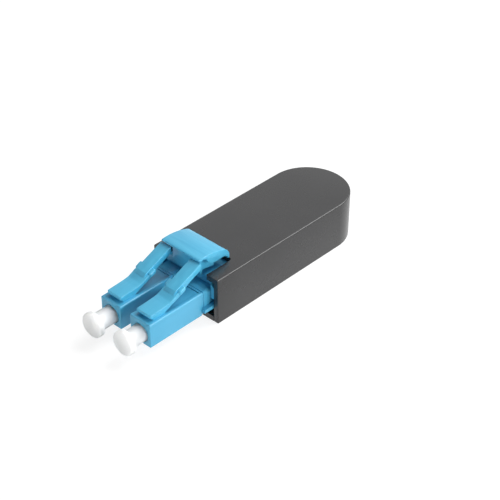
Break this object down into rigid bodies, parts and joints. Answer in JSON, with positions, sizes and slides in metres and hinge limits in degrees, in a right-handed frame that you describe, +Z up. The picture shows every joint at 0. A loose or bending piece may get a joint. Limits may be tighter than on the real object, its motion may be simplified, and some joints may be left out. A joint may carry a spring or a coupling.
{
  "type": "fibre optic loopback module",
  "caption": "Fibre loopback module: latching plug connectors side by side under a shared press trigger, in a flat housing with a rounded end, with dust caps on the plugs.",
  "frame": {"origin": "middle of the underside, at half of the length from the dust caps' faces to the rounded end", "axes": "+Y from the plugs to the rounded end, +X to the right seen from behind the plugs, +Z up through the trigger"},
  "size_m": [0.0136, 0.0509, 0.0109],
  "materials": {
    "housing": "fine satin black moulding",
    "connector_plastic": "semi-gloss light blue moulding",
    "cap_plastic": "soft white moulding",
    "ferrule_ceramic": "polished white ceramic",
    "plated_metal": "turned and nickel plated",
    "spring_steel": "drawn steel wire",
    "boot_rubber": "matt black",
    "fibre_buffer": "smooth yellow buffer"
  },
  "bodies": {
    "module": {"housing_shell": "housing", "base_plate": "housing", "duplex_clip": "connector_plastic", "fibre_loop": "fibre_buffer", "front_housing_left": "connector_plastic", "rear_body_left": "connector_plastic", "spring_left": "spring_steel", "stop_ring_left": "plated_metal", "boot_left": "boot_rubber", "front_housing_right": "connector_plastic", "rear_body_right": "connector_plastic", "spring_right": "spring_steel", "stop_ring_right": "plated_metal", "boot_right": "boot_rubber"},
    "trigger": {"trigger": "connector_plastic"},
    "latch_left": {"latch_arm_left": "connector_plastic"},
    "ferrule_left": {"ferrule_left": "ferrule_ceramic", "ferrule_flange_left": "plated_metal"},
    "cap_left": {"dust_cap_left": "cap_plastic"},
    "latch_right": {"latch_arm_right": "connector_plastic"},
    "ferrule_right": {"ferrule_right": "ferrule_ceramic", "ferrule_flange_right": "plated_metal"},
    "cap_right": {"dust_cap_right": "cap_plastic"}
  },
  "joints": [
    {"name": "trigger_press", "type": "hinge", "parent": "module", "child": "trigger", "pos_m": [0, -0.00445, 0.0064], "axis": [1, 0, 0], "range_deg": [0, 10], "stiffness_Nm_per_rad": 0.01},
    {"name": "latch_left_flex", "type": "hinge", "parent": "module", "child": "latch_left", "pos_m": [-0.00313, -0.0175, 0.00644], "axis": [-1, 0, 0], "range_deg": [0, 6.2], "stiffness_Nm_per_rad": 0.005},
    {"name": "ferrule_left_float", "type": "slide", "parent": "module", "child": "ferrule_left", "axis": [0, 1, 0], "range_m": [0, 0.001], "stiffness_N_per_m": 1500, "deforming": ["spring_left"]},
    {"name": "dust_cap_left_pull", "type": "slide", "parent": "module", "child": "cap_left", "axis": [0, -1, 0], "range_m": [0, 0.008]},
    {"name": "latch_right_flex", "type": "hinge", "parent": "module", "child": "latch_right", "pos_m": [0.00313, -0.0175, 0.00644], "axis": [-1, 0, 0], "range_deg": [0, 6.2], "stiffness_Nm_per_rad": 0.005},
    {"name": "ferrule_right_float", "type": "slide", "parent": "module", "child": "ferrule_right", "axis": [0, 1, 0], "range_m": [0, 0.001], "stiffness_N_per_m": 1500, "deforming": ["spring_right"]},
    {"name": "dust_cap_right_pull", "type": "slide", "parent": "module", "child": "cap_right", "axis": [0, -1, 0], "range_m": [0, 0.008]}
  ],
  "couplings": [
    {"joint": "latch_left_flex", "follows": "trigger_press", "ratio": 0.62},
    {"joint": "latch_right_flex", "follows": "trigger_press", "ratio": 0.62}
  ]
}
